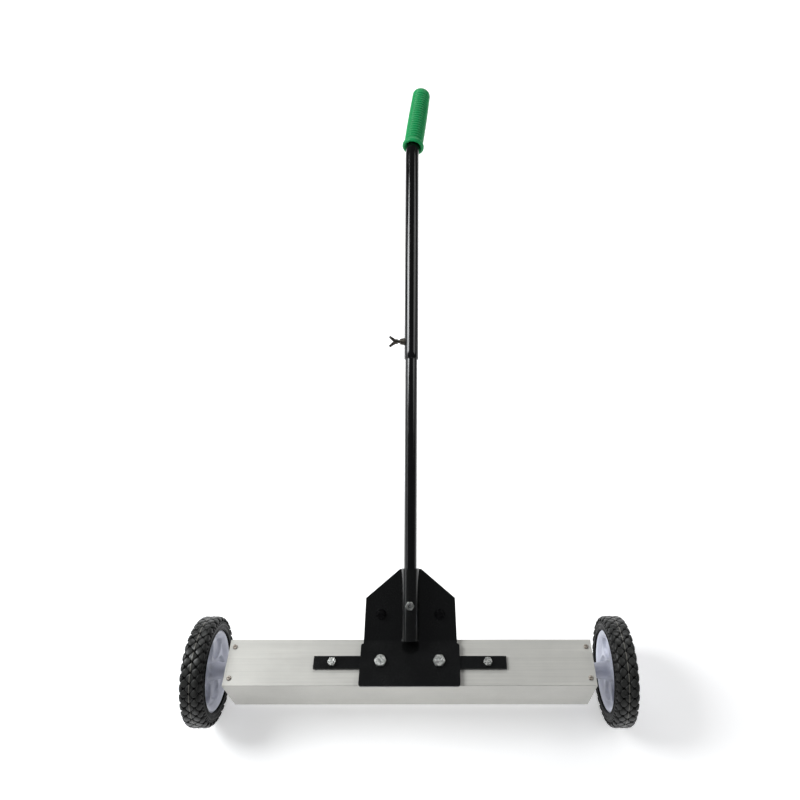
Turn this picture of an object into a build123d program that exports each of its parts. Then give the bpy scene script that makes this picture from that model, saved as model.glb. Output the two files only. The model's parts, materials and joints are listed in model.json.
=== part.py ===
"""Magnetic nail sweeper: a wheeled aluminium magnet bar with a telescoping push handle.

Frame: X runs along the magnet bar, +Y is the side the handle leans to, +Z is up.
The floor is Z = 0 and the origin is the centre of the whole object's footprint.
"""
from build123d import *
from math import cos, radians, sin
import os

# Driving dimensions, in millimetres and degrees.
WHEEL_R = 89.0
WHEEL_W = 38.0
WHEEL_X = 350.0
HUB_R = 66.0
HOUSING_L = 610.0
HOUSING_D = 76.0
HOUSING_H = 95.0
HOUSING_WALL = 1.8
HOUSING_LIP = 10.0
AXLE_DROP = 50.0
AXLE_SETBACK = 4.0
AXLE_R = 5.0
RUNNING_GAP = 0.05
FACE_GAP = 0.3
PLATE_T = 4.0
STRAP_L, STRAP_W = 320.0, 21.0
HANDLE_ANGLE = 32.0
LOWER_R = 10.75
UPPER_R = 12.5
TUBE_WALL = 1.5
GRIP_L = 143.0
BEND_ANGLE = 14.0
BEND_TWIST = 28.0
FOOTPRINT_Y = 421.1

# Derived places.
HOUSING_Y = -FOOTPRINT_Y
HOUSING_TOP = WHEEL_R + AXLE_DROP
HOUSING_BOTTOM = HOUSING_TOP - HOUSING_H
AXLE_Y = HOUSING_Y + AXLE_SETBACK
STRAP_TOP = HOUSING_TOP + PLATE_T
PLATE_TOP = STRAP_TOP + PLATE_T
CAP_T = 3.0
SHELL_L = HOUSING_L - 2 * CAP_T
BAR_Y = HOUSING_Y - 1.5
STRAP_BOLT_X = 129.0
BRACKET_BOLT_X = 48.5
END_SCREW_X = 296.0
END_SCREW_Y = 25.5

os.makedirs("parts", exist_ok=True)


def save(piece, name):
    """Labels one finished piece and writes it as a STEP file of its own."""
    piece.part.label = name
    export_step(piece.part, f"parts/{name}.step")


def level(z, x=0.0, y=0.0):
    """A horizontal sketch plane at a height, facing up."""
    return Plane(origin=(x, y, z), x_dir=(1, 0, 0), z_dir=(0, 0, 1))


def hex_bolt(seat, places, shank_r, length, across_flats, head_h):
    """Hex bolts on one seat plane: heads above it, shanks below it."""
    corner_r = across_flats / 2 / cos(radians(30))
    with BuildPart() as bolts:
        # A round blank with a turned chamfer, cut to a hexagon, as real heads are made.
        with BuildSketch(seat):
            with Locations(*places):
                Circle(corner_r)
        extrude(amount=head_h)
        top = bolts.faces().filter_by(lambda f: f.normal_at().dot(seat.z_dir) > 0.99)
        chamfer(top.edges(), length=head_h * 0.24, length2=corner_r * 0.17)
        with BuildSketch(seat):
            with Locations(*places):
                RegularPolygon(across_flats / 2, 6, major_radius=False)
        extrude(amount=head_h, mode=Mode.INTERSECT)
        with BuildSketch(seat):
            with Locations(*places):
                Circle(shank_r)
        extrude(amount=-length)
    return bolts


def hex_nut(seat, places, hole_r, height, across_flats):
    """Hex nuts standing on one seat plane, on its normal side."""
    with BuildPart() as nuts:
        with BuildSketch(seat):
            with Locations(*places):
                RegularPolygon(across_flats / 2, 6, major_radius=False)
            with Locations(*places):
                Circle(hole_r, mode=Mode.SUBTRACT)
        extrude(amount=height)
    return nuts


def ring(seat, places, outer_r, inner_r, height):
    """Flat washers or plain sleeves standing on one seat plane."""
    with BuildPart() as rings:
        with BuildSketch(seat):
            with Locations(*places):
                Circle(outer_r)
            with Locations(*places):
                Circle(inner_r, mode=Mode.SUBTRACT)
        extrude(amount=height)
    return rings


# --- Magnet housing ---------------------------------------------------------
# Folded aluminium channel, open underneath between two inward lips.
with BuildPart() as housing_shell:
    with BuildSketch(Plane.YZ.offset(-SHELL_L / 2)):
        with Locations((HOUSING_Y, HOUSING_TOP - HOUSING_H / 2)):
            RectangleRounded(HOUSING_D, HOUSING_H, 1.2)
            Rectangle(HOUSING_D - 2 * HOUSING_WALL, HOUSING_H - 2 * HOUSING_WALL, mode=Mode.SUBTRACT)
        with Locations((HOUSING_Y, HOUSING_BOTTOM)):
            Rectangle(HOUSING_D - 2 * HOUSING_LIP, 3 * HOUSING_WALL, mode=Mode.SUBTRACT)
    extrude(amount=SHELL_L)
    with BuildSketch(level(HOUSING_TOP)):
        with Locations((-STRAP_BOLT_X, BAR_Y), (STRAP_BOLT_X, BAR_Y)):
            Circle(4.5)
        with Locations((-BRACKET_BOLT_X, BAR_Y), (BRACKET_BOLT_X, BAR_Y)):
            Circle(5.5)
        with Locations((0, HOUSING_Y)):
            with GridLocations(2 * END_SCREW_X, 2 * END_SCREW_Y, 2, 2):
                Circle(2.2)
    extrude(amount=-2 * HOUSING_WALL, mode=Mode.SUBTRACT)
save(housing_shell, "housing_shell")

COVER_T = 1.2
COVER_BOTTOM = HOUSING_BOTTOM + HOUSING_WALL
with BuildPart() as bottom_cover:
    with BuildSketch(level(COVER_BOTTOM)):
        with Locations((0, HOUSING_Y)):
            Rectangle(SHELL_L, HOUSING_D - 2 * HOUSING_WALL - 2 * FACE_GAP)
    extrude(amount=COVER_T)
save(bottom_cover, "bottom_cover")

# Folded end caps: a plate that closes the channel and a flange under its roof.
FLANGE_L = 17.0
FLANGE_T = 2.0
for side, side_x in (("left", -1), ("right", 1)):
    with BuildPart() as end_cap:
        with BuildSketch(Plane.YZ.offset(side_x * SHELL_L / 2)):
            with Locations((HOUSING_Y, HOUSING_TOP - HOUSING_H / 2)):
                RectangleRounded(HOUSING_D, HOUSING_H, 1.2)
        extrude(amount=side_x * CAP_T)
        with BuildSketch(level(HOUSING_TOP - HOUSING_WALL)):
            with Locations((side_x * (SHELL_L - FLANGE_L) / 2, HOUSING_Y)):
                Rectangle(FLANGE_L, HOUSING_D - 4 * HOUSING_WALL)
        extrude(amount=-FLANGE_T)
        with BuildSketch(level(HOUSING_TOP)):
            with Locations((side_x * END_SCREW_X, HOUSING_Y)):
                with GridLocations(0, 2 * END_SCREW_Y, 1, 2):
                    Circle(1.8)
        extrude(amount=-3 * HOUSING_WALL, mode=Mode.SUBTRACT)
        with BuildSketch(Plane.YZ.offset(side_x * (SHELL_L / 2 - 1))):
            with Locations((AXLE_Y, WHEEL_R)):
                Circle(AXLE_R + FACE_GAP)
        extrude(amount=side_x * (CAP_T + 2), mode=Mode.SUBTRACT)
    save(end_cap, f"{side}_end_cap")

# Pan-head screws that hold the end caps, two at each end of the roof.
with BuildPart() as end_cap_screws:
    with BuildSketch(level(HOUSING_TOP)):
        with Locations((0, HOUSING_Y)):
            with GridLocations(2 * END_SCREW_X, 2 * END_SCREW_Y, 2, 2):
                Circle(3.8)
    extrude(amount=2.2)
    fillet(end_cap_screws.faces().group_by(Axis.Z)[-1].edges(), radius=1.2)
    with BuildSketch(level(HOUSING_TOP + 2.2)):
        with Locations((0, HOUSING_Y)):
            with GridLocations(2 * END_SCREW_X, 2 * END_SCREW_Y, 2, 2):
                Rectangle(3.6, 0.8)
                Rectangle(0.8, 3.6)
    extrude(amount=-1.2, mode=Mode.SUBTRACT)
    with BuildSketch(level(HOUSING_TOP)):
        with Locations((0, HOUSING_Y)):
            with GridLocations(2 * END_SCREW_X, 2 * END_SCREW_Y, 2, 2):
                Circle(1.75)
    extrude(amount=-9)
save(end_cap_screws, "end_cap_screws")

# --- Magnets, hung from the roof by the two strap bolts ---------------------
MAGNET_L, MAGNET_D, MAGNET_H = 72.0, 60.0, 25.0
MAGNET_BOTTOM = COVER_BOTTOM + COVER_T
BACKING_T = 6.0
BACKING_BOTTOM = MAGNET_BOTTOM + MAGNET_H
BACKING_TOP = BACKING_BOTTOM + BACKING_T
MAGNET_XS = [-255.0, -182.0, -73.0, 0.0, 73.0, 182.0, 255.0]
with BuildPart() as magnet_blocks:
    with BuildSketch(level(MAGNET_BOTTOM)):
        with Locations(*[(x, HOUSING_Y) for x in MAGNET_XS]):
            RectangleRounded(MAGNET_L, MAGNET_D, 2)
    extrude(amount=MAGNET_H)
save(magnet_blocks, "magnet_blocks")

STRAP_BOLTS = [(-STRAP_BOLT_X, BAR_Y), (STRAP_BOLT_X, BAR_Y)]
with BuildPart() as backing_plate:
    with BuildSketch(level(BACKING_BOTTOM)):
        with Locations((0, HOUSING_Y)):
            Rectangle(586, 64)
        with Locations(*STRAP_BOLTS):
            Circle(4.5, mode=Mode.SUBTRACT)
    extrude(amount=BACKING_T)
save(backing_plate, "backing_plate")

ROOF_UNDERSIDE = HOUSING_TOP - HOUSING_WALL
save(ring(level(BACKING_TOP), STRAP_BOLTS, 7.5, 4.3, ROOF_UNDERSIDE - BACKING_TOP), "magnet_spacers")

# --- Strap across the roof --------------------------------------------------
BRACKET_BOLTS = [(-BRACKET_BOLT_X, BAR_Y), (BRACKET_BOLT_X, BAR_Y)]
with BuildPart() as mounting_strap:
    with BuildSketch(level(HOUSING_TOP)):
        with Locations((0, BAR_Y)):
            RectangleRounded(STRAP_L, STRAP_W, 1)
        with Locations(*STRAP_BOLTS):
            Circle(4.5, mode=Mode.SUBTRACT)
        with Locations(*BRACKET_BOLTS):
            Circle(5.5, mode=Mode.SUBTRACT)
    extrude(amount=PLATE_T)
    chamfer(mounting_strap.faces().sort_by(Axis.Z)[-1].outer_wire().edges(), length=0.4)
save(mounting_strap, "mounting_strap")

M8_NUT_H = 6.5
save(hex_bolt(level(STRAP_TOP), STRAP_BOLTS, 4.0, STRAP_TOP - BACKING_BOTTOM + 8, 13, 5.3), "strap_bolts")
save(hex_nut(level(BACKING_BOTTOM - M8_NUT_H), STRAP_BOLTS, 4.0, M8_NUT_H, 13), "strap_nuts")

# --- Handle bracket ---------------------------------------------------------
# One steel plate, folded up by the handle's angle along a line at the rear.
FOLD_Y = HOUSING_Y + 33.0
BASE_FRONT_Y = HOUSING_Y - 41.0
BASE_W = 165.0
FOLD_W = 157.0
SHOULDER_W = 151.5
TOP_W = 36.0
EAR_SETBACK = 5.0
SHOULDER_S = 69.0
TOP_S = 117.0
BRACE_X = 49.5
BRACE_S = 42.0
SOCKET_BOLT_S = 60.0
BRACE_BOLTS = [(-BRACE_X, BRACE_S), (BRACE_X, BRACE_S)]
lean = radians(HANDLE_ANGLE)
ALONG = Vector(0, cos(lean), sin(lean))
OUTWARD = Vector(0, -sin(lean), cos(lean))
FOLD = Vector(0, FOLD_Y, PLATE_TOP)
upper_face = Plane(origin=FOLD, x_dir=(1, 0, 0), z_dir=OUTWARD)

with BuildPart() as handle_bracket:
    with BuildSketch(Plane.YZ):
        with BuildLine():
            FilletPolyline(
                (BASE_FRONT_Y, PLATE_TOP),
                (FOLD_Y, PLATE_TOP),
                (FOLD_Y + TOP_S * cos(lean), PLATE_TOP + TOP_S * sin(lean)),
                radius=6,
            )
            offset(amount=PLATE_T, side=Side.RIGHT)
        make_face()
    extrude(amount=BASE_W / 2, both=True)
    # Outline of the folded-up part: tapered sides and clipped top corners.
    with BuildSketch(upper_face) as upper_outline:
        Rectangle(2 * BASE_W, 2 * TOP_S, align=(Align.CENTER, Align.MIN))
        with BuildLine():
            Polyline(
                (-FOLD_W / 2, -1), (FOLD_W / 2, -1), (SHOULDER_W / 2, SHOULDER_S),
                (TOP_W / 2, TOP_S), (-TOP_W / 2, TOP_S), (-SHOULDER_W / 2, SHOULDER_S),
                close=True,
            )
        make_face(mode=Mode.SUBTRACT)
    extrude(amount=3 * PLATE_T, both=True, mode=Mode.SUBTRACT)
    # The wider base stops short of the fold, leaving two rounded ears.
    with BuildSketch(level(PLATE_TOP + 1)):
        for ear_side in (-1, 1):
            with Locations((ear_side * (FOLD_W + BASE_W) / 2, FOLD_Y)):
                Rectangle(BASE_W, 2 * EAR_SETBACK)
    extrude(amount=-PLATE_T - 2, mode=Mode.SUBTRACT)
    corner_edges = handle_bracket.edges().filter_by(Axis.Z)
    fillet(corner_edges.group_by(Axis.Y)[0], radius=4)
    ear_corners = handle_bracket.edges().filter_by(Axis.Z).filter_by(
        lambda e: abs(abs(e.center().X) - BASE_W / 2) < 0.01
        and abs(e.center().Y - FOLD_Y + EAR_SETBACK) < 0.01
    )
    fillet(ear_corners, radius=3.5)
    upright_edges = handle_bracket.edges().filter_by(
        lambda e: abs(e.length - PLATE_T) < 0.01 and abs(e.tangent_at(0).dot(OUTWARD)) > 0.99
    )
    fillet(upright_edges.group_by(Axis.Y)[-1], radius=4)
    with BuildSketch(level(PLATE_TOP)):
        with Locations(*BRACKET_BOLTS):
            Circle(5.5)
    extrude(amount=-PLATE_T, mode=Mode.SUBTRACT)
    with BuildSketch(upper_face):
        with Locations(*BRACE_BOLTS, (0, SOCKET_BOLT_S)):
            Circle(4.5)
    extrude(amount=-PLATE_T, mode=Mode.SUBTRACT)
save(handle_bracket, "handle_bracket")

save(hex_bolt(level(PLATE_TOP), BRACKET_BOLTS, 5.0, 25, 18, 6.4), "bracket_bolts")
WASHER_T = 2.0
save(ring(level(ROOF_UNDERSIDE - WASHER_T), BRACKET_BOLTS, 10, 5.3, WASHER_T), "bracket_washers")
save(hex_nut(level(ROOF_UNDERSIDE - WASHER_T - 8), BRACKET_BOLTS, 5.0, 8, 16), "bracket_nuts")

# Flat bar bolted behind the folded-up part to stiffen it.
back_face = upper_face.offset(-PLATE_T)
with BuildPart() as bracket_stiffener:
    with BuildSketch(back_face):
        with Locations((0, BRACE_S)):
            RectangleRounded(124, 22, 3)
        with Locations(*BRACE_BOLTS):
            Circle(4.5, mode=Mode.SUBTRACT)
        with Locations((0, SOCKET_BOLT_S)):
            Circle(9, mode=Mode.SUBTRACT)
    extrude(amount=-PLATE_T)
save(bracket_stiffener, "bracket_stiffener")

BRACE_WASHER_T = 1.6
brace_back = upper_face.offset(-2 * PLATE_T)
save(ring(upper_face, BRACE_BOLTS, 8.8, 4.2, BRACE_WASHER_T), "stiffener_washers")
save(hex_bolt(upper_face.offset(BRACE_WASHER_T), BRACE_BOLTS, 4.0, 22, 13, 5.3), "stiffener_bolts")
save(hex_nut(brace_back.offset(-M8_NUT_H), BRACE_BOLTS, 4.0, M8_NUT_H, 13), "stiffener_nuts")

# --- Handle tubes -----------------------------------------------------------
SOCKET_R = 14.5
SOCKET_BOTTOM_S = 3.0
SOCKET_TOP_S = 119.0
LOWER_TOP_S = 700.0
UPPER_BOTTOM_S = 483.0
BEND_S = 888.0
CLAMP_S = 516.0
AXIS_RISE = SOCKET_R


def on_axis(s):
    """A point on the handle's centre line, s from the bracket's fold."""
    return FOLD + ALONG * s + OUTWARD * AXIS_RISE


def across(s):
    """A sketch plane square to the handle's centre line, facing up the handle."""
    return Plane(origin=on_axis(s), x_dir=(1, 0, 0), z_dir=ALONG)


with BuildPart() as handle_socket:
    with BuildSketch(across(SOCKET_BOTTOM_S)):
        Circle(SOCKET_R)
    extrude(amount=SOCKET_TOP_S - SOCKET_BOTTOM_S)
    # Weld fillets along both sides, filled down to the plate.
    with BuildSketch(across(6)):
        with Locations((0, SOCKET_R - 3)):
            Trapezoid(20, 6, 60, rotation=180)
    extrude(amount=SOCKET_TOP_S - 12)
    with BuildSketch(across(SOCKET_BOTTOM_S)):
        Circle(LOWER_R + RUNNING_GAP)
    extrude(amount=SOCKET_TOP_S - SOCKET_BOTTOM_S, mode=Mode.SUBTRACT)
    with BuildSketch(upper_face):
        with Locations((0, SOCKET_BOLT_S)):
            Circle(4.2)
    extrude(amount=2 * SOCKET_R + 1, mode=Mode.SUBTRACT)
save(handle_socket, "handle_socket")

with BuildPart() as lower_tube:
    with BuildSketch(across(SOCKET_BOTTOM_S + 2)):
        Circle(LOWER_R)
        Circle(LOWER_R - TUBE_WALL, mode=Mode.SUBTRACT)
    extrude(amount=LOWER_TOP_S - SOCKET_BOTTOM_S - 2)
    with BuildSketch(upper_face):
        with Locations((0, SOCKET_BOLT_S)):
            Circle(4.2)
    extrude(amount=2 * SOCKET_R + 1, mode=Mode.SUBTRACT)
save(lower_tube, "lower_tube")

socket_bolt_seat = upper_face.offset(2 * SOCKET_R)
SOCKET_BOLT_PLACE = [(0, SOCKET_BOLT_S)]
save(hex_bolt(socket_bolt_seat, SOCKET_BOLT_PLACE, 4.0, 2 * SOCKET_R + 14, 13, 5.3), "socket_bolt")
save(hex_nut(back_face.offset(-M8_NUT_H), SOCKET_BOLT_PLACE, 4.0, M8_NUT_H, 13), "socket_nut")

# The upper tube slides over the lower one and bends down towards the grip.
bend = radians(BEND_ANGLE)
twist = radians(BEND_TWIST)
sideways = Vector(1, 0, 0) * sin(twist) - OUTWARD * cos(twist)
GRIP_DIR = ALONG * cos(bend) + sideways * sin(bend)
TUBE_IN_GRIP = 124.0
bend_corner = on_axis(BEND_S)
MOUTH_OFFSET = 12.0
grip_mouth = Plane(origin=bend_corner + GRIP_DIR * MOUTH_OFFSET, x_dir=(1, 0, 0), z_dir=GRIP_DIR)
BORE_R = LOWER_R + RUNNING_GAP
with BuildPart() as upper_tube:
    with BuildLine():
        FilletPolyline(
            on_axis(UPPER_BOTTOM_S),
            bend_corner,
            bend_corner + GRIP_DIR * (MOUTH_OFFSET + TUBE_IN_GRIP),
            radius=90,
        )
    with BuildSketch(across(UPPER_BOTTOM_S)):
        Circle(UPPER_R)
        Circle(BORE_R, mode=Mode.SUBTRACT)
    sweep()
    with BuildSketch(Plane(origin=on_axis(CLAMP_S), x_dir=ALONG, z_dir=(-1, 0, 0))):
        Circle(3.1)
    extrude(amount=2 * UPPER_R, mode=Mode.SUBTRACT)
save(upper_tube, "upper_tube")

# Threaded boss welded to the upper tube, and the wing screw that clamps the slide.
BOSS_BASE_R = 7.0
BOSS_L = 8.0
clamp_face = Plane(origin=on_axis(CLAMP_S), x_dir=ALONG, z_dir=(-1, 0, 0))
with BuildPart() as clamp_boss:
    with BuildSketch(clamp_face.offset(UPPER_R - 3)):
        Circle(BOSS_BASE_R)
    with BuildSketch(clamp_face.offset(UPPER_R + BOSS_L)):
        Circle(BOSS_BASE_R - 1.8)
    loft()
    with BuildSketch(across(CLAMP_S - 20)):
        Circle(UPPER_R)
    extrude(amount=40, mode=Mode.SUBTRACT)
    with BuildSketch(clamp_face):
        Circle(3.0 + RUNNING_GAP)
    extrude(amount=2 * UPPER_R, mode=Mode.SUBTRACT)
save(clamp_boss, "clamp_boss")

WING_START = UPPER_R + BOSS_L + 7
WING_T = 2.4
wing_plane = Plane(origin=on_axis(CLAMP_S), x_dir=(-1, 0, 0), z_dir=OUTWARD)
with BuildPart() as wing_screw:
    with BuildSketch(clamp_face.offset(LOWER_R + FACE_GAP)):
        Circle(3.0)
    extrude(amount=WING_START + 2 - LOWER_R)
    with BuildSketch(clamp_face.offset(WING_START - 3)):
        Circle(4.6)
    extrude(amount=6)
    for wing_side in (-1, 1):
        with BuildSketch(wing_plane.offset(-WING_T / 2)):
            with BuildLine():
                Polyline(
                    (WING_START - 1, 0), (WING_START + 1, wing_side * 4.2),
                    (WING_START + 11, wing_side * 11), (WING_START + 13, wing_side * 7.5),
                    (WING_START + 5, 0), close=True,
                )
            make_face()
        extrude(amount=WING_T)
save(wing_screw, "wing_screw")

# --- Grip -------------------------------------------------------------------
GRIP_R = 18.0
GRIP_COLLAR_R = 20.5
GRIP_COLLAR_L = 9.0
RIB_COUNT = 20
RIB_PITCH = 5.8
with BuildPart() as grip:
    with BuildSketch(Plane(origin=grip_mouth.origin, x_dir=grip_mouth.x_dir, z_dir=-grip_mouth.y_dir)):
        with BuildLine():
            Polyline(
                (0, 0), (GRIP_COLLAR_R, 0), (GRIP_COLLAR_R, GRIP_COLLAR_L - 3),
                (GRIP_R, GRIP_COLLAR_L + 1), (GRIP_R - 0.8, GRIP_L), (0, GRIP_L), close=True,
            )
        make_face()
        with Locations((GRIP_R + 0.1, GRIP_COLLAR_L + 8 + RIB_PITCH * (RIB_COUNT - 1) / 2)):
            with GridLocations(1, RIB_PITCH, 1, RIB_COUNT):
                Circle(1.1, mode=Mode.SUBTRACT)
    revolve(axis=Axis(grip_mouth.origin, GRIP_DIR))
    tip_edges = grip.edges().filter_by(GeomType.CIRCLE).sort_by(Axis(grip_mouth.origin, GRIP_DIR))[-1]
    fillet(tip_edges, radius=8)
    with BuildSketch(grip_mouth):
        Circle(UPPER_R + RUNNING_GAP)
    extrude(amount=TUBE_IN_GRIP, mode=Mode.SUBTRACT)
    with BuildSketch(grip_mouth):
        Circle(17)
    with BuildSketch(grip_mouth.offset(5)):
        Circle(UPPER_R + RUNNING_GAP)
    loft(mode=Mode.SUBTRACT)
save(grip, "grip")

# --- Wheels -----------------------------------------------------------------
BOSS_R = 15.0
BOSS_OUT = 18.5
BOSS_IN = 36.0
BUSH_R = 7.0
BUSH_FLANGE_T = 1.5
RECESS_COUNT = 6
for side, side_x in (("left", -1), ("right", 1)):
    # The boss is longer towards the housing; ends are signed distances along X.
    boss_ends = {side_x: BOSS_OUT, -side_x: BOSS_IN}
    mid = Plane(origin=(side_x * WHEEL_X, AXLE_Y, WHEEL_R), x_dir=(0, 1, 0), z_dir=(1, 0, 0))
    section = Plane(origin=mid.origin, x_dir=(1, 0, 0), z_dir=(0, -1, 0))
    axle_line = Axis(mid.origin, (1, 0, 0))

    # Moulded tyre with rounded shoulders, seated on the hub's rim.
    with BuildPart() as tyre:
        with BuildSketch(section):
            with Locations((0, (WHEEL_R + HUB_R) / 2)):
                Rectangle(WHEEL_W, WHEEL_R - HUB_R)
            fillet(vertices().group_by(Axis.Y)[-1], radius=9)
            chamfer(vertices().group_by(Axis.Y)[0], length=2)
        revolve(axis=axle_line)
    save(tyre, f"{side}_tyre")

    # Plastic hub: rim, dished web with oval recesses on both faces, and a boss.
    with BuildPart() as hub:
        with BuildSketch(section):
            with Locations((side_x * BOSS_OUT / 2, BOSS_R / 2)):
                Rectangle(BOSS_OUT, BOSS_R)
            with BuildLine():
                Polyline(
                    (0, 0), (0, BOSS_R + 9), (-side_x * 4.5, BOSS_R + 9), (-side_x * 10, BOSS_R + 2),
                    (-side_x * BOSS_IN, BOSS_R - 3), (-side_x * BOSS_IN, 0), close=True,
                )
            make_face()
            with Locations((0, HUB_R / 2)):
                Rectangle(9, HUB_R)
            with Locations((0, HUB_R - 3)):
                Rectangle(32, 6)
            with BuildLine():
                Polyline((-12, HUB_R - 6), (12, HUB_R - 6), (4.5, HUB_R - 14), (-4.5, HUB_R - 14), close=True)
            make_face()
        revolve(axis=axle_line)
        for face_x in (-1, 1):
            with BuildSketch(mid.offset(face_x * 5)):
                with PolarLocations(37.5, RECESS_COUNT):
                    Ellipse(17, 14)
            extrude(amount=-face_x * 3, mode=Mode.SUBTRACT)
        with BuildSketch(mid.offset(-BOSS_IN - 1)):
            Circle(BUSH_R)
        extrude(amount=2 * BOSS_IN + 2, mode=Mode.SUBTRACT)
    save(hub, f"{side}_hub")

    # Two flanged nylon bushes, one pressed into each end of the boss.
    with BuildPart() as bushes:
        for face_x in (-1, 1):
            with BuildSketch(mid.offset(face_x * (boss_ends[face_x] - 14))):
                Circle(BUSH_R)
                Circle(AXLE_R + RUNNING_GAP, mode=Mode.SUBTRACT)
            extrude(amount=face_x * 14)
            with BuildSketch(mid.offset(face_x * boss_ends[face_x])):
                Circle(BUSH_R + 3.5)
                Circle(AXLE_R + RUNNING_GAP, mode=Mode.SUBTRACT)
            extrude(amount=face_x * BUSH_FLANGE_T)
    save(bushes, f"{side}_bushes")

    # Axle bolt from the outside, sleeve up to the end cap, lock nut inside the housing.
    wheel_out = BOSS_OUT + BUSH_FLANGE_T + FACE_GAP
    wheel_in = BOSS_IN + BUSH_FLANGE_T + FACE_GAP
    out_dir = (side_x, 0, 0)
    centre = [(0, 0)]

    def on_axle(distance):
        """A plane square to the axle, facing out, at a distance from the bar's middle."""
        return Plane(origin=(side_x * distance, AXLE_Y, WHEEL_R), x_dir=(0, 1, 0), z_dir=out_dir)

    outer_seat = WHEEL_X + wheel_out
    save(ring(on_axle(outer_seat), centre, 10, AXLE_R + 0.25, WASHER_T), f"{side}_axle_washer")
    nut_inner = SHELL_L / 2 - WASHER_T - 8
    bolt_length = outer_seat + WASHER_T - nut_inner + 3
    save(hex_bolt(on_axle(outer_seat + WASHER_T), centre, AXLE_R, bolt_length, 16, 6.4), f"{side}_axle_bolt")
    sleeve_end = WHEEL_X - wheel_in
    save(ring(on_axle(HOUSING_L / 2), centre, 8, AXLE_R + 0.25, sleeve_end - HOUSING_L / 2),
         f"{side}_axle_sleeve")
    save(ring(on_axle(SHELL_L / 2 - WASHER_T), centre, 9, AXLE_R + 0.25, WASHER_T), f"{side}_lock_washer")
    save(hex_nut(on_axle(nut_inner), centre, AXLE_R, 8, 16), f"{side}_lock_nut")
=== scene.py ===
"""Looks of the magnetic nail sweeper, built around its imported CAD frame. Metres, +Z up.

Drawn shapes are worked out in millimetres and scaled by MM where they become points.
"""
import json
from math import cos, pi, radians, sin, sqrt

import bmesh
import bpy
from mathutils import Matrix, Vector

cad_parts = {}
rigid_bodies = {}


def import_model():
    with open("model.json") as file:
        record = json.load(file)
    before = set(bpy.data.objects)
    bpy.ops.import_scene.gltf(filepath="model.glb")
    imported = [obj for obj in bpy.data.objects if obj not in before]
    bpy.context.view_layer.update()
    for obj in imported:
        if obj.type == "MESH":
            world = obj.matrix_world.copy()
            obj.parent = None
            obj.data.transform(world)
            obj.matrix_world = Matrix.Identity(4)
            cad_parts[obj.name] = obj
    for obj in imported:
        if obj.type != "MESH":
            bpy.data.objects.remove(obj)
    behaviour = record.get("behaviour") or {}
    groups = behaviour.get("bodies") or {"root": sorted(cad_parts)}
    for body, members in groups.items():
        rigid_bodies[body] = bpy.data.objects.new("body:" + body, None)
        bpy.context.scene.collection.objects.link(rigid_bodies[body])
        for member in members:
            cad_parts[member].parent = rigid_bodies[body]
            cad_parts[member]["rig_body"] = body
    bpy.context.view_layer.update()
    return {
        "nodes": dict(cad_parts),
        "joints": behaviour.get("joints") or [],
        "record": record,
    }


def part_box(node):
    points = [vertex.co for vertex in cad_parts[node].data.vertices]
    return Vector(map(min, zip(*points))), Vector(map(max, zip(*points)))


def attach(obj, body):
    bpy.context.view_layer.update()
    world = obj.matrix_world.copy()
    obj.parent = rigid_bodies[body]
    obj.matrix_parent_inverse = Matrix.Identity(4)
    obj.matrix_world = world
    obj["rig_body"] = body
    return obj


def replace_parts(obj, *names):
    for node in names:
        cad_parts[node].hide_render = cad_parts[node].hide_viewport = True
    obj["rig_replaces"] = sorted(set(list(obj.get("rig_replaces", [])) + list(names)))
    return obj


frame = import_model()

MM = 0.001
JOINTS = {joint["name"]: joint for joint in frame["joints"]}
JOINT_PLACE = {name: Vector(joint["pos_m"]) for name, joint in JOINTS.items() if "pos_m" in joint}
SLIDE = JOINTS["handle_slide"]


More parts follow.
